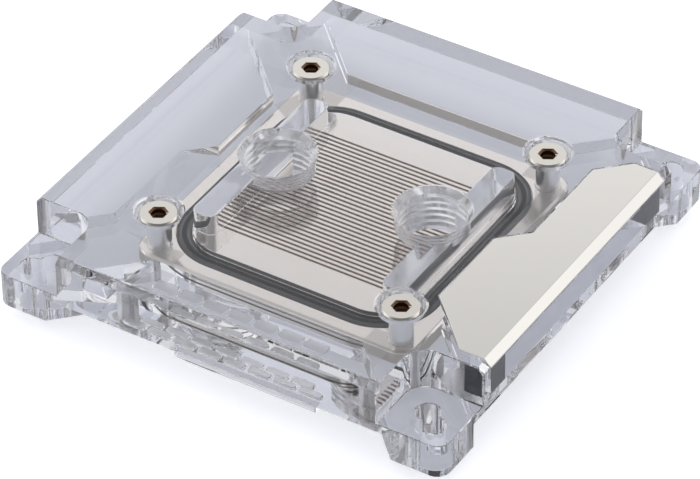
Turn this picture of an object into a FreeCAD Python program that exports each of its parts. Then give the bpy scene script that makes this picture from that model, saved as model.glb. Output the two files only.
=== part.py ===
"""Liquid-cooling block for a processor: a clear acrylic top over a finned, nickel-plated cold plate.

Millimetres. The origin is the centre of the cold plate's contact face, +Z points up out of the
ports, +X points to the polished side cover and -Y to the edge with the low lip under it.
"""
import FreeCAD
import Part
import os
import re

import Sketcher

# Driving sizes, each written once: alias, value, what it is.
SIZE_LIST = [
    ("block_side", 89.0, "outer side of the square acrylic block"),
    ("block_height", 14.6, "height of the acrylic block"),
    ("base_thickness", 3.0, "thickness of the cold plate's flange"),
    ("pedestal_height", 1.8, "rise of the cold plate's middle into the block"),
    ("edge_bevel", 1.2, "bevel of the block's upper outer edges"),
    ("notch_size", 12.75, "side of the square corner notch"),
    ("notch_radius", 4.0, "inner corner of the notch"),
    ("ear_thickness", 6.7, "thickness of the mounting ears below the notches"),
    ("ear_corner_radius", 2.5, "round tip of each ear"),
    ("mount_edge_distance", 4.5, "distance of a mounting hole's outer lobe in from the sides"),
    ("mount_lobe_step", 2.5, "distance of its inner lobe further in, along X and along Y"),
    ("mount_hole_radius", 2.2, "radius of each lobe of the mounting holes"),
    ("relief_height", 4.9, "height of the reliefs in the block's underside"),
    ("relief_mouth", 34.55, "half width of every relief where it opens in the side"),
    ("end_relief_reach", 13.65, "depth of the front and rear reliefs in from the side"),
    ("side_relief_reach", 10.75, "shallow depth of the left and right reliefs"),
    ("side_relief_step", 4.85, "extra depth of their deep part"),
    ("side_relief_step_place", 3.5, "distance of the step from the middle"),
    ("ramp_length", 14.0, "length of the sloping wall's upper edge in the shallow part"),
    ("ramp_end_run", 6.0, "run of the slope that closes the ramp"),
    ("lip_height", 1.2, "drop of the lip under the front edge"),
    ("lip_width", 3.0, "thickness of that lip"),
    ("lip_left", 8.0, "left end of the lip from the middle"),
    ("lip_right", 20.0, "right end of the lip from the middle"),
    ("port_spacing", 31.2, "distance between the two threaded ports"),
    ("port_radius", 5.9, "tapping radius of a G1/4 port"),
    ("port_mouth_chamfer", 1.0, "chamfer at the mouth of a port"),
    ("port_depth", 8.8, "depth of a port"),
    ("channel_place", 19.05, "distance of a flow channel from the middle"),
    ("channel_width", 4.7, "width of a flow channel"),
    ("channel_length", 38.0, "length of a flow channel"),
    ("channel_height", 8.0, "height of a flow channel above the pedestal"),
    ("channel_radius", 1.6, "corner radius of a flow channel"),
    ("screw_spacing", 48.5, "side of the square of the four screws"),
    ("screw_hole_radius", 2.15, "clearance hole of a screw in the block"),
    ("counterbore_radius", 4.0, "counterbore of a screw head"),
    ("counterbore_depth", 2.6, "depth of that counterbore"),
    ("screw_radius", 2.0, "shank of an M4 screw"),
    ("screw_head_radius", 3.5, "head of an M4 screw with a low head"),
    ("screw_head_height", 2.2, "height of that head"),
    ("screw_edge_bevel", 0.3, "bevel of the screw's head and tip"),
    ("screw_tip_gap", 0.5, "distance of the screw's tip from the contact face"),
    ("socket_across_flats", 2.5, "hexagon socket across its flats"),
    ("socket_depth", 1.4, "depth of the hexagon socket"),
    ("thread_clearance", 0.02, "radial play of a screw in its tapped hole"),
    ("plate_margin", 3.65, "cold plate beyond the screw axes, and its corner radius"),
    ("plate_edge_bevel", 0.4, "bevel round the cold plate's edges"),
    ("pedestal_side", 44.6, "side of the raised middle of the cold plate"),
    ("pedestal_radius", 7.9, "corner radius of the raised middle"),
    ("pedestal_clearance", 0.1, "play of the raised middle in the block"),
    ("fin_pitch", 1.04, "distance from fin to fin"),
    ("fin_gap", 0.44, "width of the groove between two fins"),
    ("fin_gap_count", 31, "number of grooves between the fins"),
    ("fin_length", 37.2, "length of the fins along X"),
    ("fin_gap_depth", 2.4, "depth of the grooves between the fins"),
    ("seal_side", 47.7, "side of the seal ring's centre line"),
    ("seal_radius", 9.45, "corner radius of that centre line"),
    ("seal_width", 2.6, "width of the squeezed seal ring"),
    ("seal_bevel", 0.5, "bevel that rounds the squeezed ring's section off"),
    ("groove_width", 2.9, "width of the seal ring's groove"),
    ("groove_depth", 1.6, "depth of that groove, and height of the squeezed ring"),
    ("cover_thickness", 1.5, "thickness of the polished side cover"),
    ("cover_bevel", 1.4, "bevel along the cover's outer edge"),
    ("cover_half_length", 29.2, "half length of the cover along the block's side"),
    ("cover_overlap", 0.4, "cover edge inside the edge of the relief below it"),
    ("cover_clearance", 0.1, "play of the cover in its seat"),
    ("light_channel_wall", 1.1, "acrylic left outside the light channel"),
    ("light_channel_width", 3.5, "width of the light channel under the cover"),
    ("light_channel_depth", 6.2, "depth of the light channel under the cover's seat"),
    ("light_channel_length", 57.0, "length of the light channel"),
    ("end_block_length", 4.6, "length of the black block at each end of the light channel"),
    ("light_fit", 0.05, "play of the blocks and the board at the channel's walls"),
    ("board_thickness", 0.6, "thickness of the light board"),
    ("board_width", 3.0, "width of the light board"),
    ("lamp_length", 3.5, "length of one light-emitting diode"),
    ("lamp_width", 2.8, "width of one light-emitting diode"),
    ("lamp_height", 1.0, "height of one light-emitting diode"),
    ("lamp_window_radius", 1.15, "radius of the diode's round window"),
    ("lamp_window_depth", 0.25, "depth of that window"),
    ("lamp_end_gap", 1.85, "distance of the first and the last diode from the end blocks"),
]
SIZES = {alias: value for alias, value, note in SIZE_LIST}
LAMP_COUNT = 8

# How far a cutting outline runs past the face that it opens.
OVERRUN = 5

doc = FreeCAD.newDocument("water_block")


def make_sheet():
    """Puts every driving size in a cell of its own, with its alias and its meaning."""
    cells = doc.addObject("Spreadsheet::Sheet", "Sizes")
    for row, (alias, value, note) in enumerate(SIZE_LIST, start=1):
        cells.set(f"A{row}", alias)
        cells.set(f"B{row}", str(value))
        cells.set(f"C{row}", note)
        cells.setAlias(f"B{row}", alias)
    doc.recompute()
    return cells


sheet = make_sheet()


def bound(text):
    """Turns the words of the size list into references to their cells."""
    return re.sub(r"[a-z_]+", lambda word: f"Sizes.{word[0]}" if word[0] in SIZES else word[0], text)


def value_of(text):
    """Present value of an expression written with the words of the size list."""
    return float(sheet.evalExpression(bound(text)))


def bind(item, **expressions):
    """Ties properties of an object to the sheet."""
    for name, text in expressions.items():
        item.setExpression(name, bound(text))


def new_body(label):
    body = doc.addObject("PartDesign::Body", label)
    body.Label = label
    return body


def origin_item(body, role):
    """One of the body's own origin planes or axes."""
    return next(item for item in body.Origin.OriginFeatures if item.Role == role)


def new_sketch(body, name, level="0", plane="XY_Plane"):
    """A sketch on one of the body's origin planes, raised to a level."""
    sketch = body.newObject("Sketcher::SketchObject", name)
    sketch.AttachmentSupport = [(origin_item(body, plane), "")]
    sketch.MapMode = "FlatFace"
    sketch.setExpression("AttachmentOffset.Base.z", bound(level))
    return sketch


def tie_point(sketch, geometry, place, x, y):
    """Holds a point of the sketch at two expressions, or on an axis where one is 0."""
    for kind, text, axis in (("DistanceX", x, -2), ("DistanceY", y, -1)):
        if text == "0":
            sketch.addConstraint(Sketcher.Constraint("PointOnObject", geometry, place, axis))
            continue
        limit = Sketcher.Constraint(kind, -1, 1, geometry, place, value_of(text))
        index = sketch.addConstraint(limit)
        sketch.setExpression(f"Constraints[{index}]", bound(text))


def tie_radius(sketch, geometry, radius):
    index = sketch.addConstraint(Sketcher.Constraint("Radius", geometry, value_of(radius)))
    sketch.setExpression(f"Constraints[{index}]", bound(radius))


def draw_polygon(sketch, corners):
    """A closed outline through corners given as pairs of expressions."""
    points = [FreeCAD.Vector(value_of(x), value_of(y), 0) for x, y in corners]
    lines = [
        sketch.addGeometry(Part.LineSegment(point, points[(index + 1) % len(points)]))
        for index, point in enumerate(points)
    ]
    for index, line in enumerate(lines):
        following = lines[(index + 1) % len(lines)]
        sketch.addConstraint(Sketcher.Constraint("Coincident", line, 2, following, 1))
    for line, (x, y) in zip(lines, corners):
        tie_point(sketch, line, 1, x, y)


def draw_circle(sketch, x, y, radius):
    centre = FreeCAD.Vector(value_of(x), value_of(y), 0)
    normal = FreeCAD.Vector(0, 0, 1)
    circle = sketch.addGeometry(Part.Circle(centre, normal, value_of(radius)))
    tie_point(sketch, circle, 3, x, y)
    tie_radius(sketch, circle, radius)


def draw_rounded_rectangle(sketch, x, y, half_x, half_y, radius):
    """A rectangle about (x, y) with four equal round corners."""
    turns = ((1, -1, -90), (1, 1, 0), (-1, 1, 90), (-1, -1, 180))
    size = value_of(radius)
    normal = FreeCAD.Vector(0, 0, 1)
    arcs = []
    centres = []
    for side_x, side_y, start in turns:
        sign_x = "+" if side_x > 0 else "-"
        sign_y = "+" if side_y > 0 else "-"
        place = (f"{x} {sign_x} (({half_x}) - ({radius}))", f"{y} {sign_y} (({half_y}) - ({radius}))")
        centre = FreeCAD.Vector(value_of(place[0]), value_of(place[1]), 0)
        circle = Part.Circle(centre, normal, size)
        first = FreeCAD.Units.Quantity(f"{start} deg").getValueAs("rad")
        last = FreeCAD.Units.Quantity(f"{start + 90} deg").getValueAs("rad")
        arcs.append(sketch.addGeometry(Part.ArcOfCircle(circle, float(first), float(last))))
        centres.append(place)
    for arc, (place_x, place_y) in zip(arcs, centres):
        tie_point(sketch, arc, 3, place_x, place_y)
    tie_radius(sketch, arcs[0], radius)
    for arc in arcs[1:]:
        sketch.addConstraint(Sketcher.Constraint("Equal", arcs[0], arc))
    for index, arc in enumerate(arcs):
        following = arcs[(index + 1) % 4]
        start = sketch.getPoint(arc, 2)
        end = sketch.getPoint(following, 1)
        line = sketch.addGeometry(Part.LineSegment(start, end))
        sketch.addConstraint(Sketcher.Constraint("Tangent", arc, 2, line, 1))
        sketch.addConstraint(Sketcher.Constraint("Tangent", line, 2, following, 1))


def pad(body, name, sketch, length):
    """Grows a sketch upwards."""
    feature = body.newObject("PartDesign::Pad", name)
    feature.Profile = sketch
    bind(feature, Length=length)
    doc.recompute()
    return feature


def pocket(body, name, sketch, length, upwards=False):
    """Cuts a sketch downwards, or upwards from a lower face."""
    before = body.Shape.Volume
    feature = body.newObject("PartDesign::Pocket", name)
    feature.Profile = sketch
    feature.Reversed = upwards
    bind(feature, Length=length)
    doc.recompute()
    if body.Shape.Volume > before - 0.001:
        raise RuntimeError(f"{name} cuts nothing")
    return feature


def copy_round(body, name, features, count):
    """Repeats features about the Z axis."""
    pattern = body.newObject("PartDesign::PolarPattern", name)
    pattern.Originals = features
    pattern.Axis = (origin_item(body, "Z_Axis"), [""])
    pattern.Angle = 360
    pattern.Occurrences = count
    body.Tip = pattern
    doc.recompute()
    return pattern


def copy_along(body, name, features, axis, pitch, count):
    """Repeats features in a row along one of the body's axes."""
    pattern = body.newObject("PartDesign::LinearPattern", name)
    pattern.Originals = features
    pattern.Direction = (origin_item(body, axis), [""])
    bind(pattern, Length=f"({count} - 1) * {pitch}", Occurrences=count)
    body.Tip = pattern
    doc.recompute()
    return pattern


def edges_where(body, test):
    """Names of the edges of the body's tip that pass a test."""
    names = [f"Edge{index}" for index, edge in enumerate(body.Tip.Shape.Edges, start=1) if test(edge)]
    if not names:
        raise RuntimeError(f"{body.Label} has no such edge")
    return names


def bevel_edges(body, name, size, test):
    """A 45 degree chamfer on the edges that pass a test."""
    base = body.Tip
    names = edges_where(body, test)
    feature = body.newObject("PartDesign::Chamfer", name)
    feature.Base = (base, names)
    bind(feature, Size=size)
    body.Tip = feature
    doc.recompute()
    return feature


def near(number, target):
    return abs(number - target) < 0.001


def lies_at(edge, level):
    """True where a whole edge lies at one level."""
    return near(edge.BoundBox.ZMin, level) and near(edge.BoundBox.ZMax, level)


# Levels above the contact face.
UNDERSIDE = "base_thickness"
PEDESTAL_TOP = "base_thickness + pedestal_height"
RELIEF_CEILING = "base_thickness + relief_height"
EAR_TOP = "base_thickness + ear_thickness"
BLOCK_TOP = "base_thickness + block_height"
COVER_SEAT = "base_thickness + block_height - cover_thickness"
HALF_SIDE = "block_side / 2"
SCREW_PLACE = "screw_spacing / 2"
OUTER_LOBE = "(block_side / 2 - mount_edge_distance)"
INNER_LOBE = "(block_side / 2 - mount_edge_distance - mount_lobe_step)"
QUADRANTS = ((-1, -1), (-1, 1), (1, 1), (1, -1))


def cover_outline(growth):
    """Corners of the cover, grown by a clearance; the outer side stays at the block's side.

    The inner side follows the right-hand relief below it, moved inwards by the overlap. Its
    slanting parts lie at 45 degrees, so a shift of an edge moves its corners by tan(22.5 deg).
    """
    shift = f"(cover_overlap + {growth})"
    lean = f"{shift} * 0.41421"
    shallow = f"(block_side / 2 - side_relief_reach - {shift})"
    deep = f"(block_side / 2 - side_relief_reach - side_relief_step - {shift})"
    step_end = f"(side_relief_step_place + {lean})"
    step_start = f"(side_relief_step_place - side_relief_step + {lean})"
    near_bend = f"(relief_mouth - side_relief_reach - side_relief_step + {lean})"
    far_bend = f"(relief_mouth - side_relief_reach + {lean})"
    end = f"(cover_half_length + {growth})"
    return [
        ("block_side / 2", f"-{end}"),
        (f"{deep} + ({end} - {near_bend})", f"-{end}"),
        (deep, f"-{near_bend}"),
        (deep, step_start),
        (shallow, step_end),
        (shallow, far_bend),
        (f"{shallow} + ({end} - {far_bend})", end),
        ("block_side / 2", end),
    ]


def draw_on_screws(sketch, radius):
    """One circle on each screw axis."""
    for side_x, side_y in QUADRANTS:
        draw_circle(sketch, f"{side_x} * {SCREW_PLACE}", f"{side_y} * {SCREW_PLACE}", radius)


def cut_corners(body):
    """Square notches over the ears, and the ears' two-lobed mounting holes."""
    notch = new_sketch(body, "NotchOutline", BLOCK_TOP)
    notch_half = f"(notch_size + {OVERRUN}) / 2"
    notch_centre = f"{HALF_SIDE} - notch_size + {notch_half}"
    draw_rounded_rectangle(notch, notch_centre, notch_centre, notch_half, notch_half, "notch_radius")
    notch_cut = pocket(body, "Notch", notch, "block_height - ear_thickness")
    copy_round(body, "Notches", [notch_cut], 4)

    small = new_sketch(body, "SmallSquareHole", EAR_TOP)
    draw_circle(small, INNER_LOBE, INNER_LOBE, "mount_hole_radius")
    small_cut = pocket(body, "SmallSquareLobe", small, "ear_thickness")
    copy_round(body, "SmallSquareLobes", [small_cut], 4)

    large = new_sketch(body, "LargeSquareHole", EAR_TOP)
    draw_circle(large, OUTER_LOBE, OUTER_LOBE, "mount_hole_radius")
    large_cut = pocket(body, "LargeSquareLobe", large, "ear_thickness")
    copy_round(body, "LargeSquareLobes", [large_cut], 4)


def cut_reliefs(body):
    """Reliefs in the underside: trapezoids front and rear, stepped ones left and right."""
    end_relief = new_sketch(body, "RearReliefOutline", UNDERSIDE)
    wall = f"{HALF_SIDE} - end_relief_reach"
    width = "relief_mouth - end_relief_reach"
    outer = f"{HALF_SIDE} + {OVERRUN}"
    wide = f"relief_mouth + {OVERRUN}"
    draw_polygon(
        end_relief,
        [(f"-({width})", wall), (width, wall), (wide, outer), (f"-({wide})", outer)],
    )
    end_cut = pocket(body, "RearRelief", end_relief, "relief_height", upwards=True)
    copy_round(body, "EndReliefs", [end_cut], 2)

    side_relief = new_sketch(body, "LeftReliefOutline", UNDERSIDE)
    shallow = f"-({HALF_SIDE} - side_relief_reach)"
    deep = f"-({HALF_SIDE} - side_relief_reach - side_relief_step)"
    draw_polygon(
        side_relief,
        [
            (f"-({outer})", f"-({wide})"),
            (shallow, "-(relief_mouth - side_relief_reach)"),
            (shallow, "-side_relief_step_place"),
            (deep, "-side_relief_step_place + side_relief_step"),
            (deep, "relief_mouth - side_relief_reach - side_relief_step"),
            (f"-({outer})", wide),
        ],
    )
    side_cut = pocket(body, "LeftRelief", side_relief, "relief_height", upwards=True)

    ramp = body.newObject("PartDesign::SubtractiveWedge", "LeftRamp")
    ramp.Placement = FreeCAD.Placement(FreeCAD.Vector(), FreeCAD.Rotation(FreeCAD.Vector(1, 0, 0), 90))
    bind(
        ramp,
        Xmin=shallow,
        Xmax=deep,
        X2min=shallow,
        X2max=shallow,
        Ymin="0",
        Ymax="relief_height",
        Zmin="side_relief_step_place - side_relief_step",
        Zmax="side_relief_step_place + ramp_length + ramp_end_run",
        Z2min="side_relief_step_place",
        Z2max="side_relief_step_place + ramp_length",
    )
    ramp.setExpression("Placement.Base.z", bound(UNDERSIDE))
    doc.recompute()
    copy_round(body, "SideReliefs", [side_cut, ramp], 2)


def add_front_lip(body):
    """A low lip under the middle of the front edge."""
    outline = new_sketch(body, "LipOutline", f"{RELIEF_CEILING} - lip_height")
    front = f"-{HALF_SIDE}"
    back = f"-({HALF_SIDE} - lip_width)"
    draw_polygon(
        outline,
        [("-lip_left", front), ("lip_right", front), ("lip_right", back), ("-lip_left", back)],
    )
    pad(body, "FrontLip", outline, "lip_height")


def cut_water_ways(body):
    """The seat of the pedestal, two flow channels and two threaded ports."""
    seat = new_sketch(body, "PedestalSeatOutline", UNDERSIDE)
    half = "(pedestal_side / 2 + pedestal_clearance)"
    draw_rounded_rectangle(seat, "0", "0", half, half, "pedestal_radius + pedestal_clearance")
    pocket(body, "PedestalSeat", seat, "pedestal_height", upwards=True)

    channels = new_sketch(body, "ChannelOutlines", PEDESTAL_TOP)
    for side in (-1, 1):
        draw_rounded_rectangle(
            channels,
            f"{side} * channel_place",
            "0",
            "channel_width / 2",
            "channel_length / 2",
            "channel_radius",
        )
    pocket(body, "Channels", channels, "channel_height", upwards=True)

    ports = new_sketch(body, "PortOutlines", BLOCK_TOP)
    for side in (-1, 1):
        draw_circle(ports, f"{side} * port_spacing / 2", "0", "port_radius")
    pocket(body, "Ports", ports, "port_depth")
    top = value_of(BLOCK_TOP)
    radius = value_of("port_radius")

    def is_port_rim(edge):
        round_edge = isinstance(edge.Curve, Part.Circle)
        return round_edge and near(edge.Curve.Radius, radius) and lies_at(edge, top)

    bevel_edges(body, "PortMouths", "port_mouth_chamfer", is_port_rim)


def cut_screw_holes(body):
    heads = new_sketch(body, "CounterboreOutlines", BLOCK_TOP)
    draw_on_screws(heads, "counterbore_radius")
    pocket(body, "Counterbores", heads, "counterbore_depth")
    shanks = new_sketch(body, "ScrewHoleOutlines", BLOCK_TOP)
    draw_on_screws(shanks, "screw_hole_radius")
    pocket(body, "ScrewHoles", shanks, "block_height")


def cut_cover_seat(body):
    """The cover's shallow seat, open to the right, and the light channel below it."""
    seat = new_sketch(body, "CoverSeatOutline", BLOCK_TOP)
    corners = cover_outline("cover_clearance")
    outer = f"{HALF_SIDE} + {OVERRUN}"
    corners[0] = (outer, corners[0][1])
    corners[-1] = (outer, corners[-1][1])
    draw_polygon(seat, corners)
    pocket(body, "CoverSeat", seat, "cover_thickness")

    channel = new_sketch(body, "LightChannelOutline", COVER_SEAT)
    outer = f"{HALF_SIDE} - light_channel_wall"
    inner = f"{HALF_SIDE} - light_channel_wall - light_channel_width"
    half = "light_channel_length / 2"
    draw_polygon(channel, [(inner, f"-{half}"), (outer, f"-{half}"), (outer, half), (inner, half)])
    pocket(body, "LightChannel", channel, "light_channel_depth")


def bevel_upper_edges(body):
    """The 45 degree bevel along what is left of the block's upper outer edges."""
    top = value_of(BLOCK_TOP)
    side = value_of(HALF_SIDE)

    def is_outer_edge(edge):
        box = edge.BoundBox
        along_x = near(abs(box.YMin), side) and near(box.YMin, box.YMax)
        along_y = near(abs(box.XMin), side) and near(box.XMin, box.XMax)
        return lies_at(edge, top) and (along_x or along_y)

    bevel_edges(body, "UpperBevel", "edge_bevel", is_outer_edge)


def make_acrylic_body():
    body = new_body("acrylic_body")
    outline = new_sketch(body, "BlockOutline", UNDERSIDE)
    draw_rounded_rectangle(outline, "0", "0", HALF_SIDE, HALF_SIDE, "ear_corner_radius")
    pad(body, "Block", outline, "block_height")
    cut_corners(body)
    cut_reliefs(body)
    add_front_lip(body)
    cut_water_ways(body)
    cut_screw_holes(body)
    cut_cover_seat(body)
    bevel_upper_edges(body)
    return body


def make_cold_plate():
    """Flange, raised middle with its fins, the seal's groove and the tapped holes."""
    body = new_body("cold_plate")
    half = f"({SCREW_PLACE} + plate_margin)"
    flange = new_sketch(body, "FlangeOutline")
    draw_rounded_rectangle(flange, "0", "0", half, half, "plate_margin")
    pad(body, "Flange", flange, "base_thickness")
    size = value_of(half)
    top = value_of(UNDERSIDE)

    def is_rim(edge):
        level = lies_at(edge, top) or lies_at(edge, 0)
        box = edge.BoundBox
        reach = max(abs(box.XMin), abs(box.XMax), abs(box.YMin), abs(box.YMax))
        return level and near(reach, size)

    bevel_edges(body, "FlangeBevel", "plate_edge_bevel", is_rim)

    pedestal = new_sketch(body, "PedestalOutline", UNDERSIDE)
    side = "pedestal_side / 2"
    draw_rounded_rectangle(pedestal, "0", "0", side, side, "pedestal_radius")
    pad(body, "Pedestal", pedestal, "pedestal_height")

    groove = new_sketch(body, "GrooveOutline", UNDERSIDE)
    for sign in ("+", "-"):
        side = f"(seal_side / 2 {sign} groove_width / 2)"
        draw_rounded_rectangle(groove, "0", "0", side, side, f"seal_radius {sign} groove_width / 2")
    pocket(body, "SealGroove", groove, "groove_depth")

    gap = new_sketch(body, "FinGapOutline", PEDESTAL_TOP)
    first = "-(fin_gap_count - 1) * fin_pitch / 2"
    low = f"{first} - fin_gap / 2"
    high = f"{first} + fin_gap / 2"
    end = "fin_length / 2"
    draw_polygon(gap, [(f"-{end}", low), (end, low), (end, high), (f"-{end}", high)])
    gap_cut = pocket(body, "FinGap", gap, "fin_gap_depth")
    copy_along(body, "FinGaps", [gap_cut], "Y_Axis", "fin_pitch", "fin_gap_count")

    holes = new_sketch(body, "TappedHoleOutlines", UNDERSIDE)
    draw_on_screws(holes, "screw_radius + thread_clearance")
    pocket(body, "TappedHoles", holes, "base_thickness")
    return body


def make_seal_ring():
    """The squeezed ring: as high as its groove is deep, with its long edges bevelled."""
    body = new_body("seal_ring")
    ring = new_sketch(body, "RingOutline", f"{UNDERSIDE} - groove_depth")
    for sign in ("+", "-"):
        side = f"(seal_side / 2 {sign} seal_width / 2)"
        draw_rounded_rectangle(ring, "0", "0", side, side, f"seal_radius {sign} seal_width / 2")
    pad(body, "Ring", ring, "groove_depth")

    def is_level(edge):
        return near(edge.BoundBox.ZMin, edge.BoundBox.ZMax)

    bevel_edges(body, "RingBevel", "seal_bevel", is_level)
    return body


def make_screw(label, side_x, side_y):
    """A screw with a low round head and a hexagon socket, drawn with its head's seat at z = 0."""
    body = new_body(label)
    profile = new_sketch(body, "ScrewProfile", plane="XZ_Plane")
    length = "(base_thickness + block_height - counterbore_depth - screw_tip_gap)"
    draw_polygon(
        profile,
        [
            ("0", f"-{length}"),
            ("screw_radius - screw_edge_bevel", f"-{length}"),
            ("screw_radius", f"-({length} - screw_edge_bevel)"),
            ("screw_radius", "0"),
            ("screw_head_radius", "0"),
            ("screw_head_radius", "screw_head_height - screw_edge_bevel"),
            ("screw_head_radius - screw_edge_bevel", "screw_head_height"),
            ("0", "screw_head_height"),
        ],
    )
    turned = body.newObject("PartDesign::Revolution", "TurnedScrew")
    turned.Profile = profile
    turned.ReferenceAxis = (profile, ["V_Axis"])
    turned.Angle = 360
    doc.recompute()

    socket = new_sketch(body, "SocketOutline", "screw_head_height")
    flat = "socket_across_flats / 2"
    tip = "socket_across_flats / sqrt(3)"
    draw_polygon(
        socket,
        [
            (f"{tip}", "0"),
            (f"{tip} / 2", flat),
            (f"-{tip} / 2", flat),
            (f"-{tip}", "0"),
            (f"-{tip} / 2", f"-{flat}"),
            (f"{tip} / 2", f"-{flat}"),
        ],
    )
    pocket(body, "Socket", socket, "socket_depth")
    body.setExpression("Placement.Base.x", bound(f"{side_x} * {SCREW_PLACE}"))
    body.setExpression("Placement.Base.y", bound(f"{side_y} * {SCREW_PLACE}"))
    body.setExpression("Placement.Base.z", bound(f"{BLOCK_TOP} - counterbore_depth"))
    return body


def make_side_cover():
    """A flat polished plate, bevelled along its outer edge."""
    body = new_body("side_cover")
    outline = new_sketch(body, "CoverOutline", COVER_SEAT)
    draw_polygon(outline, cover_outline("0"))
    pad(body, "Cover", outline, "cover_thickness")
    top = value_of(BLOCK_TOP)
    side = value_of(HALF_SIDE)

    def is_outer_edge(edge):
        return lies_at(edge, top) and near(edge.BoundBox.XMin, side)

    bevel_edges(body, "CoverBevel", "cover_bevel", is_outer_edge)
    return body


LIGHT_CENTRE = f"({HALF_SIDE} - light_channel_wall - light_channel_width / 2)"


def make_box(label, x, y, z, length, width, height):
    """A block given by its low corner and its sizes, all tied to the sheet."""
    box = doc.addObject("Part::Box", label)
    box.Label = label
    bind(box, Length=length, Width=width, Height=height)
    for axis, text in (("x", x), ("y", y), ("z", z)):
        box.setExpression(f"Placement.Base.{axis}", bound(text))
    return box


def make_end_block(label, side):
    """A black block that closes one end of the light channel, from its floor to the cover."""
    width = "(light_channel_width - 2 * light_fit)"
    start = "light_channel_length / 2 - light_fit"
    low = f"-({start})" if side < 0 else f"{start} - end_block_length"
    return make_box(
        label,
        f"{LIGHT_CENTRE} - {width} / 2",
        low,
        f"{COVER_SEAT} - light_channel_depth",
        width,
        "end_block_length",
        "light_channel_depth",
    )


def make_light_board():
    """A narrow board under the cover, from one end block to the other."""
    length = "(light_channel_length - 2 * end_block_length - 4 * light_fit)"
    return make_box(
        "light_board",
        f"{LIGHT_CENTRE} - board_width / 2",
        f"-{length} / 2",
        f"{COVER_SEAT} - board_thickness",
        "board_width",
        length,
        "board_thickness",
    )


def make_lamp(label, place):
    """A diode under the board, with a round window in its lower face."""
    level = f"{COVER_SEAT} - board_thickness - lamp_height"
    case = make_box(
        f"{label}_case",
        f"{LIGHT_CENTRE} - lamp_width / 2",
        f"{place} - lamp_length / 2",
        level,
        "lamp_width",
        "lamp_length",
        "lamp_height",
    )
    window = doc.addObject("Part::Cylinder", f"{label}_window")
    bind(window, Radius="lamp_window_radius", Height="lamp_window_depth")
    window.setExpression("Placement.Base.x", bound(LIGHT_CENTRE))
    window.setExpression("Placement.Base.y", bound(place))
    window.setExpression("Placement.Base.z", bound(level))
    lamp = doc.addObject("Part::Cut", label)
    lamp.Base = case
    lamp.Tool = window
    lamp.Label = label
    return lamp


def make_all():
    """Every piece of the block, in the order in which it is put together."""
    pieces = [make_cold_plate(), make_seal_ring(), make_acrylic_body()]
    for (side_x, side_y), name in zip(QUADRANTS, ("front_left", "rear_left", "rear_right", "front_right")):
        pieces.append(make_screw(f"{name}_screw", side_x, side_y))
    pieces.append(make_end_block("front_end_block", -1))
    pieces.append(make_end_block("rear_end_block", 1))
    pieces.append(make_light_board())
    row = "(light_channel_length - 2 * end_block_length - 2 * lamp_end_gap - lamp_length)"
    for index in range(LAMP_COUNT):
        place = f"({index / (LAMP_COUNT - 1):.6f} - 0.5) * {row}"
        pieces.append(make_lamp(f"lamp_{index + 1}", place))
    pieces.append(make_side_cover())
    return pieces


def check_document():
    """Stops on any feature that failed."""
    doc.recompute()
    for item in doc.Objects:
        if "Invalid" in item.State or "Error" in item.State:
            raise RuntimeError(f"{item.Label} did not build: {item.State}")


def export(pieces):
    """Writes each piece as a file of its own, once all of them are sound."""
    for piece in pieces:
        if piece.Shape.isNull() or not piece.Shape.isValid() or not piece.Shape.Solids:
            raise RuntimeError(f"{piece.Label} is not a sound solid")
    os.makedirs("parts", exist_ok=True)
    for piece in pieces:
        piece.Shape.exportStep(f"parts/{piece.Label}.step")
        print(piece.Label, len(piece.Shape.Solids), round(piece.Shape.Volume, 1))


all_pieces = make_all()
check_document()
export(all_pieces)
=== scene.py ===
import math

import bpy
from bpy.props import FloatProperty, FloatVectorProperty, IntProperty, PointerProperty
from mathutils import Matrix, Vector


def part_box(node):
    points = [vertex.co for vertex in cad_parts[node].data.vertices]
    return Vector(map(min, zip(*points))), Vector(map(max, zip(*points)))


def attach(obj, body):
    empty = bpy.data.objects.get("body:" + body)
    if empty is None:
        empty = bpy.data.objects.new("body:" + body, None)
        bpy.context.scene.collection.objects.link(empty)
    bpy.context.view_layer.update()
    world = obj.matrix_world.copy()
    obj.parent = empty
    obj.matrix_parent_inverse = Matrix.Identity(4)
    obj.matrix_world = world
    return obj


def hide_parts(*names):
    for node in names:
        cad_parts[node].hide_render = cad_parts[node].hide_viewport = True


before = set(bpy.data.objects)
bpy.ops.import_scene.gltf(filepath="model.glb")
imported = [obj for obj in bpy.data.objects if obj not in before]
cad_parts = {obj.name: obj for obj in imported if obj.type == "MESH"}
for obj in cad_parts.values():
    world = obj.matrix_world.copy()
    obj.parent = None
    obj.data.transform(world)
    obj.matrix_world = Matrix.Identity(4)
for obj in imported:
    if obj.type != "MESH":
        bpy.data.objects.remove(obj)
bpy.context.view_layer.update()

bl_info = {
    "name": "Clear Water Block",
    "version": (1, 0, 0),
    "blender": (4, 5, 0),
    "location": "View3D > Sidebar > Water Block",
    "description": "Dresses the CAD solids of a clear processor water block for a studio picture",
    "category": "Object",
}

# Pieces are modelled in millimetres and brought to metres when they are finished.
MM = 0.001

# Levels of the CAD model, in millimetres above the contact face.
BLOCK_LOW, BLOCK_HIGH = (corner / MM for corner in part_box("acrylic_body"))
UNDERSIDE = BLOCK_LOW.z
TOP = BLOCK_HIGH.z
PEDESTAL_TOP = (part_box("cold_plate")[1] / MM).z
RELIEF_CEILING = UNDERSIDE + 4.9
COVER_SEAT = TOP - 1.5
COUNTERBORE_FLOOR = TOP - 2.6
PORT_FLOOR = TOP - 8.8
LIP_OF_CUTTERS = 1.0  # how far a cutter stands out of the face that it enters

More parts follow.
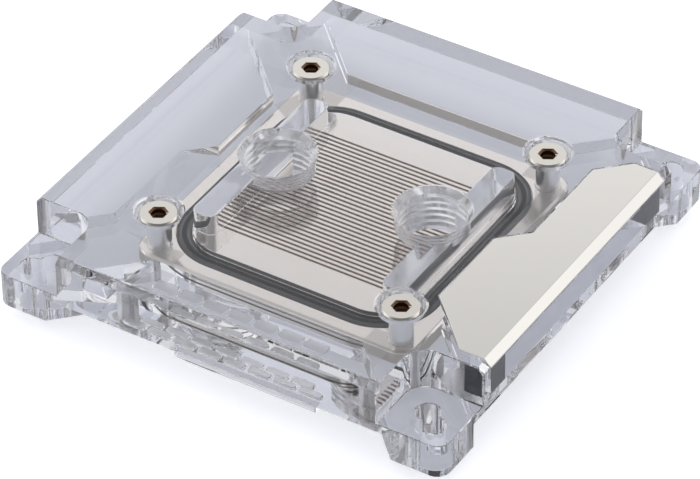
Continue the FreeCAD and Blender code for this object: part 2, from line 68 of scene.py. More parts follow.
# Places of the block's features, in millimetres from the middle.
PORT_X = 15.6
CHANNEL_X = 19.05
SCREW_X = 24.25
EAR_HOLES_X = 38.75
LIGHT_CHANNEL_X = 41.65
SCREW_PLACES = {
    "front_left": (-SCREW_X, -SCREW_X),
    "rear_left": (-SCREW_X, SCREW_X),
    "rear_right": (SCREW_X, SCREW_X),
    "front_right": (SCREW_X, -SCREW_X),
}

# Air left between the body and the metal under it, and under the cover.
CONTACT_GAP = 0.03
LEVEL_TOLERANCE = 0.002
FLATTEN_REACH = 0.02  # how far the edge breaks may have moved a point off its level
RUBBER_SQUEEZE = 0.02  # how far the seal's top stands in the plastic
SEAL_TOP_TOLERANCE = 0.01

# Holes of the clear body, a hair wider than the CAD's coarser ones.
PORT_RADIUS = 5.95
PORT_CHAMFER_DEPTH = 1.05
PORT_CHAMFER_RADIUS = 8.0
THREAD_START = TOP - 1.75
THREAD_TURNS = 4.6
THREAD_STEPS = 331
THREAD_CUTTER_RADIUS = 5.7
THREAD_ROOT_SHARE = 0.44  # half the tooth's width at the bore, as a share of the pitch
THREAD_CREST_SHARE = 0.09  # the same at its tip
COUNTERBORE_RADIUS = 4.02
COUNTERBORE_CHAMFER_DEPTH = 0.45
COUNTERBORE_CHAMFER_RADIUS = 5.47
COUNTERBORE_SIDES = 72
SHANK_HOLE_RADIUS = 2.17
SHANK_HOLE_SIDES = 48

# Bounds that tell which faces lie in a port, a counterbore, a channel, the marks, the cover's
# seat and a screw's socket, when the finishes are given out.
PORT_WALL_RADII = (5.7, 6.9)
PORT_FLOOR_TOLERANCE = 0.05
PORT_RIM_DEPTH = 0.4
COUNTERBORE_REACH = 4.5
COUNTERBORE_RIM_DEPTH = 0.15
CHANNEL_HALF_WIDTH = 2.4
CHANNEL_HALF_LENGTH = 19.5
CHANNEL_LEVELS = (5, 12.9)
MARKS_FRONT_OF = -33
MARKS_HALF_LENGTH = 21
MARKS_ABOVE_CEILING = (0.25, 0.6)
COVER_SEAT_RIGHT_OF = 24
COVER_SEAT_TOLERANCE = 0.1
SOCKET_REACH = 1.46
SOCKET_DEPTHS = (0.45, 1.9)

# Plain marks over the front relief: how many bars each row has, by the row's y.
MARK_ROWS = {-39.3: 8, -36.1: 7}
MARK_LENGTH, MARK_WIDTH, MARK_HEIGHT = 4.3, 2.5, 2.0
MARK_GAP = 0.7
MARK_DEPTH = 0.4
MARK_CORNER = 0.7

# Widths of the edge breaks, in millimetres; the clear body's own is one of its settings.
PLATE_BREAK = 0.06
SEAL_ROUND = 0.45
SCREW_BREAK = 0.3
COVER_BREAK = 0.1

# Angles in degrees: edges sharper than these are broken, or stay sharp in shading.
SHARP_EDGE = 25
BODY_SMOOTH = 14
PLATE_SMOOTH = 14
SEAL_SMOOTH = 60
SCREW_SMOOTH = 25
COVER_SMOOTH = 5

# Screws.
HEAD_HEIGHT = 2.2
HEAD_RADIUS = 3.5
HEAD_SIDES = 96
SHANK_INSET = 1.5
SHANK_END = 0.5
SOCKET_FLOOR = COUNTERBORE_FLOOR + 0.8
SOCKET_CUTTER_TOP = COUNTERBORE_FLOOR + 3
SOCKET_HALF_WIDTH = 1.25

# Mesh clean-up distances, in millimetres, and the angle in degrees within which the CAD's
# triangles count as one face.
WELD = 0.001
CUT_WELD = 0.0005
SCREW_WELD = 0.0001
FLAT_ANGLE = 0.3

# The floor, in metres.
FLOOR_SIZE = 4.0
FLOOR_DROP = 0.00002

# The key light, in metres.
KEY_PLACE = (-0.35, 0.45, 0.75)
KEY_SIZE = 0.6

# How strongly the floor glows by itself for each kind of ray; a ray may be of two kinds.
FLOOR_GLOW = {"Is Camera Ray": 0.5, "Is Glossy Ray": 0.15, "Is Transmission Ray": 0.23}
FLOOR_SHADE_IN_MIRRORS = 0.5  # share of the floor's colour that metal shows; painted shade that darkens the floor in reflections

# What metal and plastic show of the room, by the height of the ray and by how far it turns
# to the dim side where the photographer stands.
DOME_STOPS = [(0.3, 1.0), (0.42, 1.3), (0.55, 1.0), (0.606, 1.0), (0.642, 0.76), (1.0, 0.65)]
ROOM_STOPS = [(0.45, 1.0), (0.85, 0.3)]
DIM_SIDE = (0.42, -0.66, 0.623)

# The camera that was fitted to the photograph.
CAMERA_ANGLES = (32.4856, 38.5399, -0.7709)  # azimuth from the front, height and roll
CAMERA_TARGET = (0.007857, -0.014058, TOP * MM)
CAMERA_DISTANCE = 0.7901
CAMERA_LENS = 240.69
LIGHT_BOUNCES = 24


# Colour, nodes and materials

def linear(code):
    """An sRGB hex colour as the linear values that shaders use."""
    parts = [int(code[index:index + 2], 16) / 255 for index in (0, 2, 4)]
    return [part / 12.92 if part <= 0.04045 else ((part + 0.055) / 1.055) ** 2.4 for part in parts]


def colour(code):
    """An sRGB hex colour as a shader's opaque colour."""
    return (*linear(code), 1.0)


def empty_tree(owner):
    """The node tree of a material or world, with nothing in it."""
    owner.use_nodes = True
    owner.node_tree.nodes.clear()
    return owner.node_tree


def add_node(tree, kind, inputs=None, links=None, **settings):
    """Adds a node, sets its properties and inputs, and links inputs to other nodes' outputs."""
    node = tree.nodes.new(kind)
    for name, value in settings.items():
        setattr(node, name, value)
    for name, value in (inputs or {}).items():
        node.inputs[name].default_value = value
    for name, (source, output) in (links or {}).items():
        tree.links.new(source.outputs[output], node.inputs[name])
    return node


def ramp(tree, source, output, stops):
    """A colour ramp through (position, grey) stops."""
    node = add_node(tree, "ShaderNodeValToRGB", links={"Fac": (source, output)})
    elements = node.color_ramp.elements
    elements.remove(elements[1])
    elements[0].position = stops[0][0]
    for position, _ in stops[1:]:
        elements.new(position)
    for element, (_, grey) in zip(elements, stops):
        element.color = (grey, grey, grey, 1.0)
    return node


def new_material(name, inputs, grain=None, rough=None, bump=None):
    """A Principled material; a grain of noise may vary its roughness and raise a fine bump."""
    material = bpy.data.materials.new(name)
    tree = empty_tree(material)
    shader = add_node(tree, "ShaderNodeBsdfPrincipled", inputs)
    add_node(tree, "ShaderNodeOutputMaterial", links={"Surface": (shader, "BSDF")})
    if grain:
        place = add_node(tree, "ShaderNodeTexCoord")
        noise = add_node(tree, "ShaderNodeTexNoise", grain, {"Vector": (place, "Object")})
        spread = ramp(tree, noise, "Fac", rough)
        tree.links.new(spread.outputs["Color"], shader.inputs["Roughness"])
        if bump:
            relief = add_node(tree, "ShaderNodeBump", bump, {"Height": (noise, "Fac")})
            tree.links.new(relief.outputs["Normal"], shader.inputs["Normal"])
    return material


def polished_acrylic():
    """Cast acrylic sheet, flame polished: clear, faintly cool where it is thick."""
    return new_material(
        "polished cast acrylic",
        {
            "Base Color": colour("F7F8FC"),
            "Roughness": 0.0,
            "IOR": 1.49,
            "Transmission Weight": 1.0,
        },
    )


def machined_acrylic():
    """Acrylic as the cutter leaves it in ports and counterbores: frosted, with turning marks."""
    return new_material(
        "machined acrylic",
        {"Base Color": colour("F9F9FC"), "IOR": 1.49, "Transmission Weight": 0.78},
        grain={"Scale": 5000.0, "Detail": 1.0},
        rough=[(0.3, 0.13), (0.7, 0.2)],
    )


def milled_acrylic():
    """Acrylic milled and lightly polished, as in the channels: clear with a soft haze."""
    return new_material(
        "milled acrylic",
        {
            "Base Color": colour("F8F9FC"),
            "Roughness": 0.07,
            "IOR": 1.49,
            "Transmission Weight": 0.9,
        },
    )


def frosted_acrylic():
    """Acrylic engraved and left matt: part of the light scatters back white."""
    return new_material(
        "frosted acrylic",
        {"Base Color": colour("F6F6FA"), "IOR": 1.49, "Transmission Weight": 0.62},
        grain={"Scale": 4000.0, "Detail": 2.0},
        rough=[(0.3, 0.18), (0.7, 0.26)],
    )


def nickel_plate():
    """Nickel on lapped copper: warm, bright and satin, with a fine grain."""
    return new_material(
        "satin nickel plating",
        {"Base Color": colour("F0E9E0"), "Metallic": 1.0},
        grain={"Scale": 3500.0, "Detail": 3.0, "Roughness": 0.6},
        rough=[(0.35, 0.10), (0.65, 0.16)],
        bump={"Strength": 0.08, "Distance": 0.00002},
    )


def screw_nickel():
    """Nickel-plated steel screws: bright and nearly mirror-like."""
    return new_material(
        "bright nickel-plated steel",
        {"Base Color": colour("DEDAD4"), "Metallic": 1.0, "Roughness": 0.14},
    )


def socket_steel():
    """The forged inside of the hexagon sockets: dull brown oxide with a rough floor."""
    return new_material(
        "oxidised steel socket",
        {"Base Color": colour("6E5443"), "Metallic": 1.0, "Roughness": 0.35},
    )


def polished_cover_metal():
    """Stainless cover plate with a mirror polish: neutral grey that shows its surroundings."""
    return new_material(
        "mirror-polished stainless steel",
        {"Base Color": colour("E4E1DD"), "Metallic": 1.0, "Roughness": 0.06},
    )


def seal_rubber():
    """Nitrile rubber, squeezed flat: charcoal with a soft sheen."""
    return new_material(
        "nitrile rubber",
        {"Base Color": colour("0E1220"), "Roughness": 0.28, "IOR": 1.5},
    )


def black_plastic():
    """Black plastic blocks at the ends of the light channel, nearly matt."""
    return new_material(
        "black moulded ABS",
        {
            "Base Color": colour("08070C"),
            "Roughness": 0.7,
            "IOR": 1.53,
            "Specular IOR Level": 0.1,
        },
    )


def board_white():
    """White solder mask of the light board, satin."""
    return new_material(
        "white solder mask",
        {"Base Color": colour("E6E6E2"), "Roughness": 0.4, "IOR": 1.5},
    )


def lamp_resin():
    """Moulded diode cases, glossy and faintly yellow white."""
    return new_material(
        "moulded diode case",
        {"Base Color": colour("F0EFE6"), "Roughness": 0.3, "IOR": 1.5},
    )


# Modelling helpers

def activate(piece):
    """Leaves one object selected and active."""
    bpy.ops.object.select_all(action="DESELECT")
    piece.hide_set(False)
    piece.select_set(True)
    bpy.context.view_layer.objects.active = piece


def choose(piece, kind, test):
    """Leaves a piece in edit mode with the vertices, edges or faces that pass the test selected."""
    activate(piece)
    bpy.ops.object.mode_set(mode="EDIT")
    bpy.ops.mesh.select_mode(type=kind)
    bpy.ops.mesh.select_all(action="DESELECT")
    bpy.ops.object.mode_set(mode="OBJECT")
    mesh = piece.data
    parts = {"VERT": mesh.vertices, "EDGE": mesh.edges, "FACE": mesh.polygons}[kind]
    for part in parts:
        part.select = test(part)
    bpy.ops.object.mode_set(mode="EDIT")


def lift_points(piece, test, rise):
    """Moves the vertices that pass the test up by some millimetres."""
    choose(piece, "VERT", test)
    bpy.ops.transform.translate(value=(0.0, 0.0, rise))
    bpy.ops.object.mode_set(mode="OBJECT")


def finish_modifier(piece, kind, **settings):
    """Adds one modifier and applies it."""
    activate(piece)
    modifier = piece.modifiers.new(kind.title(), kind)
    for name, value in settings.items():
        setattr(modifier, name, value)
    bpy.ops.object.modifier_apply(modifier=modifier.name)


def cut_away(piece, cutter):
    """Takes the cutter's shape out of a piece, and the cutter with it."""
    finish_modifier(piece, "BOOLEAN", object=cutter, operation="DIFFERENCE", solver="EXACT")
    bpy.data.objects.remove(cutter)
    bpy.ops.object.mode_set(mode="EDIT")
    bpy.ops.mesh.select_all(action="SELECT")
    bpy.ops.mesh.remove_doubles(threshold=CUT_WELD)
    bpy.ops.mesh.dissolve_degenerate(threshold=CUT_WELD)
    bpy.ops.object.mode_set(mode="OBJECT")


def settle(piece):
    """Puts a piece's place, turn and scale into its mesh."""
    activate(piece)
    bpy.ops.object.transform_apply(location=True, rotation=True, scale=True)


def new_piece(name, mesh):
    """A new object with a copy of a mesh."""
    piece = bpy.data.objects.new(name, mesh.copy())
    bpy.context.scene.collection.objects.link(piece)
    return piece


def copy_of_node(node, name):
    """A piece in millimetres from a CAD node's mesh, its triangles joined into whole faces."""
    piece = new_piece(name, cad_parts[node].data)
    piece.data.materials.clear()
    piece.scale = (1 / MM, 1 / MM, 1 / MM)
    settle(piece)
    bpy.ops.object.mode_set(mode="EDIT")
    bpy.ops.mesh.select_all(action="SELECT")
    bpy.ops.mesh.customdata_custom_splitnormals_clear()
    bpy.ops.mesh.remove_doubles(threshold=WELD)
    bpy.ops.mesh.dissolve_limited(angle_limit=math.radians(FLAT_ANGLE))
    bpy.ops.object.mode_set(mode="OBJECT")
    return piece


def smooth_rounds(piece, angle):
    """Shades the round faces smooth, and leaves each edge sharper than the angle."""
    activate(piece)
    bpy.ops.object.shade_smooth_by_angle(angle=math.radians(angle))


def add_seams(piece, across, along):
    """Splits flat faces by upright planes through their holes, so that no face rings a hole."""
    activate(piece)
    bpy.ops.object.mode_set(mode="EDIT")
    planes = [((x, 0, 0), (1, 0, 0)) for x in across] + [((0, y, 0), (0, 1, 0)) for y in along]
    for place, normal in planes:
        bpy.ops.mesh.select_all(action="SELECT")
        bpy.ops.mesh.bisect(plane_co=place, plane_no=normal)
    bpy.ops.object.mode_set(mode="OBJECT")


def break_edges(piece, width, segments=1, spare=None):
    """Takes the sharpness off the edges, as a deburring tool does, but for those to be spared."""
    choose(piece, "EDGE", lambda edge: False)
    bpy.ops.mesh.edges_select_sharp(sharpness=math.radians(SHARP_EDGE))
    bpy.ops.object.mode_set(mode="OBJECT")
    weights = piece.data.attributes.new("bevel_weight_edge", "FLOAT", "EDGE")
    for edge in piece.data.edges:
        first, second = (piece.data.vertices[index].co for index in edge.vertices)
        spared = spare is not None and spare((first + second) / 2)
        weights.data[edge.index].value = 1.0 if edge.select and not spared else 0.0
    finish_modifier(
        piece,
        "BEVEL",
        width=width,
        segments=segments,
        limit_method="WEIGHT",
        use_clamp_overlap=False,
        miter_outer="MITER_SHARP",
    )


def cylinder(x, y, low, high, radius, sides):
    """An upright cylinder between two levels."""
    bpy.ops.mesh.primitive_cylinder_add(
        vertices=sides, radius=radius, depth=high - low, location=(x, y, (low + high) / 2)
    )
    return bpy.context.active_object


def cone(x, y, low, high, low_radius, high_radius, sides):
    """An upright cone between two levels."""
    bpy.ops.mesh.primitive_cone_add(
        vertices=sides,
        radius1=low_radius,
        radius2=high_radius,
        depth=high - low,
        location=(x, y, (low + high) / 2),
    )
    return bpy.context.active_object


def finish_piece(piece, materials, node):
    """Brings a piece to metres, with its materials, its body and the CAD node it stands for."""
    piece.scale = (MM, MM, MM)
    settle(piece)
    for material in materials:
        piece.data.materials.append(material)
    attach(piece, "root")
    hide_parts(node)


# Sizes and colours that a user may change

class ClearBodySettings(bpy.types.PropertyGroup):
    edge_break: FloatProperty(
        name="Edge Break",
        description="Width of the small chamfer on every edge of the clear body, in millimetres",
        default=0.12,
        min=0.0,
    )
    thread_pitch: FloatProperty(
        name="Thread Pitch",
        description="Pitch of the G1/4 threads, in millimetres",
        default=1.337,
    )
    thread_radius: FloatProperty(
        name="Thread Radius",
        description="Outer radius of the G1/4 threads, in millimetres",
        default=6.55,
    )
    round_sides: IntProperty(
        name="Sides",
        description="Sides of the ports; smaller holes have fewer",
        default=96,
        min=24,
    )


class StudioSettings(bpy.types.PropertyGroup):
    key_energy: FloatProperty(
        name="Key Light",
        description="Power of the large soft light behind and above the block",
        default=1.2,
        unit="POWER",
    )
    world_light: FloatProperty(
        name="World Light",
        description="Strength with which the world lights the block",
        default=0.9,
        min=0.0,
    )
    floor_colour: FloatVectorProperty(
        name="Floor Colour",
        description="Colour of the floor",
        default=linear("E9EBF4"),
        subtype="COLOR",
        size=3,
    )


# The clear body

def thread_cutter(x, settings):
    """A screw-shaped ridge: one tooth's section swept down the port by its pitch."""
    pitch = settings.thread_pitch
    bpy.ops.mesh.primitive_plane_add(size=1.0)
    cutter = bpy.context.active_object
    section = {
        (-0.5, -0.5): (THREAD_CUTTER_RADIUS, -THREAD_ROOT_SHARE * pitch),
        (-0.5, 0.5): (THREAD_CUTTER_RADIUS, THREAD_ROOT_SHARE * pitch),
        (0.5, 0.5): (settings.thread_radius, THREAD_CREST_SHARE * pitch),
        (0.5, -0.5): (settings.thread_radius, -THREAD_CREST_SHARE * pitch),
    }
    for vertex in cutter.data.vertices:
        radius, height = section[(vertex.co.x, vertex.co.y)]
        vertex.co = (radius, 0.0, height)
    finish_modifier(
        cutter,
        "SCREW",
        axis="Z",
        angle=2 * math.pi * THREAD_TURNS,
        screw_offset=-pitch * THREAD_TURNS,
        steps=THREAD_STEPS,
        render_steps=THREAD_STEPS,
        use_normal_calculate=True,
    )
    activate(cutter)
    bpy.ops.object.mode_set(mode="EDIT")
    bpy.ops.mesh.select_all(action="SELECT")
    bpy.ops.mesh.remove_doubles(threshold=SCREW_WELD)
    bpy.ops.mesh.fill_holes(sides=4)
    bpy.ops.mesh.select_all(action="SELECT")
    bpy.ops.mesh.normals_make_consistent(inside=False)
    bpy.ops.object.mode_set(mode="OBJECT")
    cutter.location = (x, 0.0, THREAD_START)
    settle(cutter)
    return cutter


def mark_cutter():
    """Two rows of short rounded bars, staggered like bricks, to be milled over the front relief."""
    bpy.ops.object.select_all(action="DESELECT")
    bpy.ops.mesh.primitive_cube_add(size=1.0, location=(0.0, 0.0, 0.0))
    bar = bpy.context.active_object
    bar.scale = (MARK_LENGTH, MARK_WIDTH, MARK_HEIGHT)
    settle(bar)

    def upright(edge):
        return len({bar.data.vertices[index].co.z > 0 for index in edge.vertices}) == 2

    choose(bar, "EDGE", upright)
    bpy.ops.mesh.bevel(offset=MARK_CORNER, segments=4, affect="EDGES")
    bpy.ops.object.mode_set(mode="OBJECT")
    bars = []
    for y, count in MARK_ROWS.items():
        for index in range(count):
            copy = new_piece("bar", bar.data)
            x = (index - (count - 1) / 2) * (MARK_LENGTH + MARK_GAP)
            copy.location = (x, y, RELIEF_CEILING + MARK_DEPTH - MARK_HEIGHT / 2)
            bars.append(copy)
    bpy.data.objects.remove(bar)
    bpy.ops.object.select_all(action="DESELECT")
    for copy in bars:
        copy.select_set(True)
    bpy.context.view_layer.objects.active = bars[0]
    bpy.ops.object.join()
    settle(bars[0])
    return bars[0]


def near_axis(centre, x, y, low, high):
    """True for a point whose distance from an upright axis lies between two radii."""
    return low <= math.hypot(centre.x - x, centre.y - y) < high


def in_a_port(centre):
    """True for a point on a port's threads or in the chamfer at its mouth, but not on its rim."""
    by_wall = any(near_axis(centre, x, 0, *PORT_WALL_RADII) for x in (-PORT_X, PORT_X))
    return by_wall and PORT_FLOOR - PORT_FLOOR_TOLERANCE < centre.z < TOP - PORT_RIM_DEPTH


def in_a_counterbore(centre):
    """True for a point on a counterbore's floor, wall or chamfer, or in the hole under it."""
    places = SCREW_PLACES.values()
    by_screw = any(near_axis(centre, x, y, 0, COUNTERBORE_REACH) for x, y in places)
    return by_screw and centre.z < TOP - COUNTERBORE_RIM_DEPTH


def in_a_channel(centre):
    """True for a point on the walls or the ceiling of a flow channel."""
    low, high = CHANNEL_LEVELS
    across = abs(abs(centre.x) - CHANNEL_X) < CHANNEL_HALF_WIDTH
    return across and abs(centre.y) < CHANNEL_HALF_LENGTH and low < centre.z < high


def in_the_marks(centre):
    """True for a point on the frosted floor of a mark over the front relief."""
    low, high = (RELIEF_CEILING + rise for rise in MARKS_ABOVE_CEILING)
    in_plan = centre.y < MARKS_FRONT_OF and abs(centre.x) < MARKS_HALF_LENGTH
    return in_plan and low < centre.z < high


def in_the_cover_seat(centre):
    """True for a point on the milled seat under the cover."""
    level = abs(centre.z - COVER_SEAT) < COVER_SEAT_TOLERANCE
    return level and centre.x > COVER_SEAT_RIGHT_OF


class WATERBLOCK_OT_clear_body(bpy.types.Operator):
    """Model the clear acrylic body with its threads, chamfers and machined walls"""

    bl_idname = "object.waterblock_clear_body"
    bl_label = "Clear Body"

    def execute(self, context):
        settings = context.scene.clear_body_settings
        body = copy_of_node("acrylic_body", "clear_body")
        self.part_from_metal(body)
        self.bore_holes(body, settings)
        cut_away(body, mark_cutter())
        holes = (PORT_X, CHANNEL_X, SCREW_X, EAR_HOLES_X)
        across = [side * x for side in (-1, 1) for x in holes]
        add_seams(body, [*across, LIGHT_CHANNEL_X], [*MARK_ROWS, -SCREW_X, 0.0, SCREW_X])
        break_edges(body, settings.edge_break, spare=in_a_port)
        self.flatten(body)
        smooth_rounds(body, BODY_SMOOTH)
        materials = [polished_acrylic(), machined_acrylic(), milled_acrylic(), frosted_acrylic()]
        self.assign_finishes(body)
        finish_piece(body, materials, "acrylic_body")
        return {"FINISHED"}

    def part_from_metal(self, body):
        """Leaves a hair of air over the metal, as between two dry faces, and under the cover."""
        rises = {UNDERSIDE: CONTACT_GAP, PEDESTAL_TOP: CONTACT_GAP, COVER_SEAT: -CONTACT_GAP}
        for level, rise in rises.items():
            lift_points(body, lambda point: abs(point.co.z - level) < LEVEL_TOLERANCE, rise)

    def flatten(self, body):
        """Puts the points of each large level face back on its level after the edge breaks."""
        levels = (
            UNDERSIDE + CONTACT_GAP,
            PEDESTAL_TOP + CONTACT_GAP,
            RELIEF_CEILING,
            COVER_SEAT - CONTACT_GAP,
            TOP,
        )
        for point in body.data.vertices:
            for level in levels:
                if abs(point.co.z - level) < FLATTEN_REACH:
                    point.co.z = level

    def bore_holes(self, body, settings):
        """Bores the ports, counterbores and screw holes again with finer sides, and cuts the
        threads and chamfers.
        """
        high = TOP + LIP_OF_CUTTERS
        sides = settings.round_sides
        chamfer = TOP - PORT_CHAMFER_DEPTH
        for x in (-PORT_X, PORT_X):
            cut_away(body, cylinder(x, 0.0, PORT_FLOOR, high, PORT_RADIUS, sides))
            cut_away(body, cone(x, 0.0, chamfer, high, PORT_RADIUS, PORT_CHAMFER_RADIUS, sides))
            cut_away(body, thread_cutter(x, settings))
        sides = COUNTERBORE_SIDES
        chamfer = TOP - COUNTERBORE_CHAMFER_DEPTH
        low = UNDERSIDE - LIP_OF_CUTTERS
        radii = (COUNTERBORE_RADIUS, COUNTERBORE_CHAMFER_RADIUS)
        for x, y in SCREW_PLACES.values():
            cut_away(body, cylinder(x, y, COUNTERBORE_FLOOR, high, COUNTERBORE_RADIUS, sides))
            cut_away(body, cone(x, y, chamfer, high, *radii, sides))
            cut_away(body, cylinder(x, y, low, TOP, SHANK_HOLE_RADIUS, SHANK_HOLE_SIDES))

    def assign_finishes(self, body):
        """Gives each face its slot: 1 machined, 2 milled, 3 frosted; the rest stay polished."""
        for face in body.data.polygons:
            centre = face.center
            if in_a_channel(centre):
                face.material_index = 2
            if in_the_cover_seat(centre) or in_a_port(centre):
                face.material_index = 1
            if in_the_marks(centre):
                face.material_index = 3
            if in_a_counterbore(centre):
                face.material_index = 1


class WATERBLOCK_OT_cold_plate(bpy.types.Operator):
    """Model the nickel-plated cold plate with its fins"""

    bl_idname = "object.waterblock_cold_plate"
    bl_label = "Cold Plate"

    def execute(self, context):
        plate = copy_of_node("cold_plate", "nickel_cold_plate")
        break_edges(plate, PLATE_BREAK)
        smooth_rounds(plate, PLATE_SMOOTH)
        finish_piece(plate, [nickel_plate()], "cold_plate")
        return {"FINISHED"}


class WATERBLOCK_OT_seal_ring(bpy.types.Operator):
    """Round the squeezed seal ring"""

    bl_idname = "object.waterblock_seal_ring"
    bl_label = "Seal Ring"

    def execute(self, context):
        ring = copy_of_node("seal_ring", "rubber_seal_ring")
        break_edges(ring, SEAL_ROUND, segments=4)
        smooth_rounds(ring, SEAL_SMOOTH)
        self.press_on_plastic(ring)
        finish_piece(ring, [seal_rubber()], "seal_ring")
        return {"FINISHED"}

    def press_on_plastic(self, ring):
        """Lets the rubber wet the plastic over it, so that no air shows between them."""
        rise = CONTACT_GAP + RUBBER_SQUEEZE
        lift_points(ring, lambda point: point.co.z > UNDERSIDE - SEAL_TOP_TOLERANCE, rise)


class WATERBLOCK_OT_screws(bpy.types.Operator):
    """Model one low-head screw with a hexagon socket and copy it to its four places"""

    bl_idname = "object.waterblock_screws"
    bl_label = "Screws"

    def execute(self, context):
        seat = COUNTERBORE_FLOOR
        first = cylinder(0.0, 0.0, seat, seat + HEAD_HEIGHT, HEAD_RADIUS, HEAD_SIDES)
        self.shape_head(first)
        materials = [screw_nickel(), socket_steel()]
        for name, (x, y) in SCREW_PLACES.items():
            screw = new_piece(f"{name}_cap_screw", first.data)
            screw.location = (x, y, 0.0)
            settle(screw)
            self.darken_socket(screw, x, y)
            finish_piece(screw, materials, f"{name}_screw")
        bpy.data.objects.remove(first)
        return {"FINISHED"}

    def shape_head(self, first):
        """Shank, socket and broken edges."""
        settle(first)
        choose(first, "FACE", lambda face: face.normal.z < -0.9)
        bpy.ops.mesh.inset(thickness=SHANK_INSET, depth=0.0)
        length = COUNTERBORE_FLOOR - SHANK_END
        bpy.ops.mesh.extrude_region_move(TRANSFORM_OT_translate={"value": (0, 0, -length)})
        bpy.ops.object.mode_set(mode="OBJECT")
        corner = SOCKET_HALF_WIDTH / math.cos(math.pi / 6)
        cut_away(first, cylinder(0.0, 0.0, SOCKET_FLOOR, SOCKET_CUTTER_TOP, corner, 6))
        break_edges(first, SCREW_BREAK)
        smooth_rounds(first, SCREW_SMOOTH)

    def darken_socket(self, screw, x, y):
        """Gives the faces inside the socket the second material."""
        for face in screw.data.polygons:
            high, low = (TOP - depth for depth in SOCKET_DEPTHS)
            if near_axis(face.center, x, y, 0, SOCKET_REACH) and low < face.center.z < high:
                face.material_index = 1


class WATERBLOCK_OT_side_cover(bpy.types.Operator):
    """Finish the polished side cover"""

    bl_idname = "object.waterblock_side_cover"
    bl_label = "Side Cover"

    def execute(self, context):
        cover = copy_of_node("side_cover", "polished_side_cover")
        break_edges(cover, COVER_BREAK, segments=2)
        smooth_rounds(cover, COVER_SMOOTH)
        finish_piece(cover, [polished_cover_metal()], "side_cover")
        return {"FINISHED"}


class WATERBLOCK_OT_light_strip(bpy.types.Operator):
    """Give the light board, its diodes and the end blocks their finishes"""

    bl_idname = "object.waterblock_light_strip"
    bl_label = "Light Strip"

    def execute(self, context):
        finishes = {
            "light_board": board_white(),
            "lamp": lamp_resin(),
            "end_block": black_plastic(),
        }
        for name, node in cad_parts.items():
            for word, material in finishes.items():
                if word in name:
                    node.data.materials.clear()
                    node.data.materials.append(material)
        return {"FINISHED"}


# Floor, light and camera

def colour_by_ray(tree, path, ray, plain, other):
    """A colour that turns from plain to other for one kind of ray."""
    return add_node(
        tree,
        "ShaderNodeMix",
        {6: plain, 7: other},  # its colour sockets share their names with others
        {0: (path, ray)},
        data_type="RGBA",
    )


def floor_material(settings):
    """Matt white paper: takes the block's shadow, and shows white where nothing shades it;
    reflections show it darker, a painted shade.
    """
    material = bpy.data.materials.new("white paper floor")
    tree = empty_tree(material)
    paper_colour = (*settings.floor_colour, 1.0)
    painted_shade_colour = (*(part * FLOOR_SHADE_IN_MIRRORS for part in settings.floor_colour), 1.0)
    paper = add_node(
        tree,
        "ShaderNodeBsdfPrincipled",
        {"Base Color": paper_colour, "Roughness": 0.9, "Specular IOR Level": 0.0},
    )
    path = add_node(tree, "ShaderNodeLightPath")
    total = add_node(tree, "ShaderNodeValue")
    total.outputs["Value"].default_value = 0.0
    for ray, strength in FLOOR_GLOW.items():
        total = add_node(
            tree,
            "ShaderNodeMath",
            {1: strength},
            {0: (path, ray), 2: (total, "Value")},
            operation="MULTIPLY_ADD",
        )
    tree.links.new(total.outputs["Value"], paper.inputs["Emission Strength"])
    # Painted shade: reflections show the floor at only part of its colour, darker than it is.
    tone = colour_by_ray(tree, path, "Is Glossy Ray", paper_colour, painted_shade_colour)
    tree.links.new(tone.outputs[2], paper.inputs["Base Color"])
    tone = colour_by_ray(tree, path, "Is Transmission Ray", colour("FFFFFF"), colour("E9EBF4"))
    tree.links.new(tone.outputs[2], paper.inputs["Emission Color"])
    add_node(tree, "ShaderNodeOutputMaterial", links={"Surface": (paper, "BSDF")})
    return material


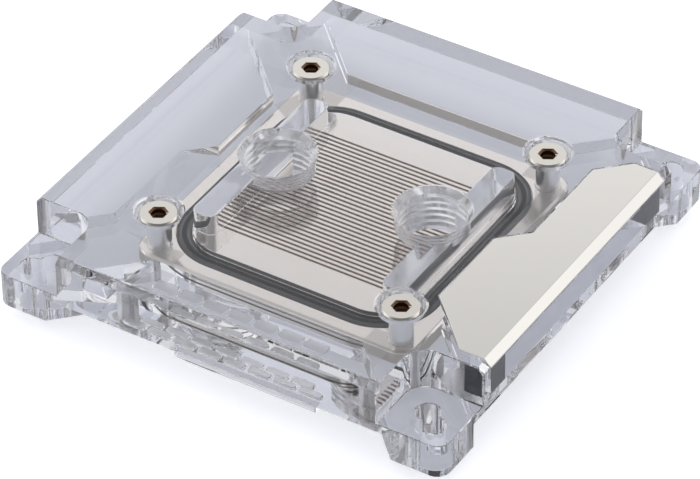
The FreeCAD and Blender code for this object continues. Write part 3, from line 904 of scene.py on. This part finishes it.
class WATERBLOCK_OT_studio(bpy.types.Operator):
    """Set up the floor, the lights, the world and the camera"""

    bl_idname = "object.waterblock_studio"
    bl_label = "Studio"

    def execute(self, context):
        settings = context.scene.studio_settings
        self.add_floor(settings)
        self.add_world(settings)
        self.add_key_light(settings)
        self.add_camera()
        context.scene.view_settings.view_transform = "Standard"
        context.scene.cycles.max_bounces = LIGHT_BOUNCES
        context.scene.cycles.transmission_bounces = LIGHT_BOUNCES
        context.scene.cycles.glossy_bounces = LIGHT_BOUNCES
        return {"FINISHED"}

    def add_floor(self, settings):
        """A wide floor a hair under the contact face."""
        bpy.ops.object.select_all(action="DESELECT")
        bpy.ops.mesh.primitive_plane_add(size=FLOOR_SIZE, location=(0.0, 0.0, -FLOOR_DROP))
        floor = bpy.context.active_object
        floor.name = "floor"
        settle(floor)
        floor.data.materials.append(floor_material(settings))

    def add_world(self, settings):
        """White to the eye, a shaded room to metal and plastic, and gentler as a light."""
        world = bpy.data.worlds.new("studio")
        bpy.context.scene.world = world
        tree = empty_tree(world)
        path = add_node(tree, "ShaderNodeLightPath")
        reflected = add_node(
            tree,
            "ShaderNodeMath",
            links={0: (path, "Is Glossy Ray"), 1: (path, "Is Transmission Ray")},
            operation="ADD",
            use_clamp=True,
        )
        direction = add_node(tree, "ShaderNodeTexCoord")
        height = add_node(
            tree, "ShaderNodeSeparateXYZ", links={"Vector": (direction, "Generated")}
        )
        dome = ramp(tree, height, "Z", DOME_STOPS)
        toward = add_node(
            tree,
            "ShaderNodeVectorMath",
            {1: DIM_SIDE},
            {0: (direction, "Generated")},
            operation="DOT_PRODUCT",
        )
        room = ramp(tree, toward, "Value", ROOM_STOPS)
        around = add_node(
            tree,
            "ShaderNodeMath",
            links={0: (dome, "Color"), 1: (room, "Color")},
            operation="MULTIPLY",
        )
        plain = add_node(
            tree,
            "ShaderNodeMix",
            {"A": settings.world_light, "B": 1.0},
            {"Factor": (path, "Is Camera Ray")},
        )
        strength = add_node(
            tree,
            "ShaderNodeMix",
            links={"Factor": (reflected, "Value"), "A": (plain, "Result"), "B": (around, "Value")},
        )
        backdrop = add_node(
            tree,
            "ShaderNodeBackground",
            {"Color": (1.0, 1.0, 1.0, 1.0)},
            {"Strength": (strength, "Result")},
        )
        add_node(tree, "ShaderNodeOutputWorld", links={"Surface": (backdrop, "Background")})

    def add_key_light(self, settings):
        """A large soft light from behind and above, unseen by metal and plastic."""
        bpy.ops.object.light_add(type="AREA", location=KEY_PLACE)
        key = bpy.context.active_object
        key.name = "key_light"
        key.data.shape = "RECTANGLE"
        key.data.size = KEY_SIZE
        key.data.size_y = KEY_SIZE
        key.data.energy = settings.key_energy
        key.visible_glossy = False
        key.visible_transmission = False
        toward = Vector((0.0, 0.0, 0.0)) - key.location
        key.rotation_euler = toward.to_track_quat("-Z", "Y").to_euler()

    def add_camera(self):
        """A long lens from the front right, fitted to the block's screws in the picture."""
        azimuth, height, roll = (math.radians(angle) for angle in CAMERA_ANGLES)
        level = math.cos(height)
        back = Vector((math.sin(azimuth) * level, -math.cos(azimuth) * level, math.sin(height)))
        right = (-back).cross(Vector((0.0, 0.0, 1.0))).normalized()
        up = right.cross(-back)
        turned_right = right * math.cos(roll) + up * math.sin(roll)
        turned_up = up * math.cos(roll) - right * math.sin(roll)
        place = Vector(CAMERA_TARGET) + back * CAMERA_DISTANCE
        bpy.ops.object.camera_add()
        camera = bpy.context.active_object
        camera.name = "camera"
        camera.data.lens = CAMERA_LENS
        camera.data.sensor_width = 36.0
        camera.data.clip_start = 0.01
        turn = Matrix((turned_right, turned_up, back)).transposed().to_4x4()
        camera.matrix_world = Matrix.Translation(place) @ turn
        bpy.context.scene.camera = camera


class WATERBLOCK_PT_panel(bpy.types.Panel):
    """Lists the pieces of the water block and their settings"""

    bl_label = "Water Block"
    bl_space_type = "VIEW_3D"
    bl_region_type = "UI"
    bl_category = "Water Block"

    def draw(self, context):
        layout = self.layout
        for operator in OPERATORS:
            layout.operator(operator.bl_idname)
        for group in (context.scene.clear_body_settings, context.scene.studio_settings):
            box = layout.box()
            for name in group.__annotations__:
                box.prop(group, name)


SETTINGS = (ClearBodySettings, StudioSettings)
OPERATORS = (
    WATERBLOCK_OT_cold_plate,
    WATERBLOCK_OT_seal_ring,
    WATERBLOCK_OT_screws,
    WATERBLOCK_OT_side_cover,
    WATERBLOCK_OT_light_strip,
    WATERBLOCK_OT_clear_body,
    WATERBLOCK_OT_studio,
)


def register():
    for item in (*SETTINGS, *OPERATORS, WATERBLOCK_PT_panel):
        bpy.utils.register_class(item)
    bpy.types.Scene.clear_body_settings = PointerProperty(type=ClearBodySettings)
    bpy.types.Scene.studio_settings = PointerProperty(type=StudioSettings)


def unregister():
    del bpy.types.Scene.studio_settings
    del bpy.types.Scene.clear_body_settings
    for item in reversed((*SETTINGS, *OPERATORS, WATERBLOCK_PT_panel)):
        bpy.utils.unregister_class(item)


def main():
    register()
    bpy.ops.object.waterblock_cold_plate()
    bpy.ops.object.waterblock_seal_ring()
    bpy.ops.object.waterblock_screws()
    bpy.ops.object.waterblock_side_cover()
    bpy.ops.object.waterblock_light_strip()
    bpy.ops.object.waterblock_clear_body()
    bpy.ops.object.waterblock_studio()
    bpy.context.view_layer.update()


if __name__ == "__main__":
    main()
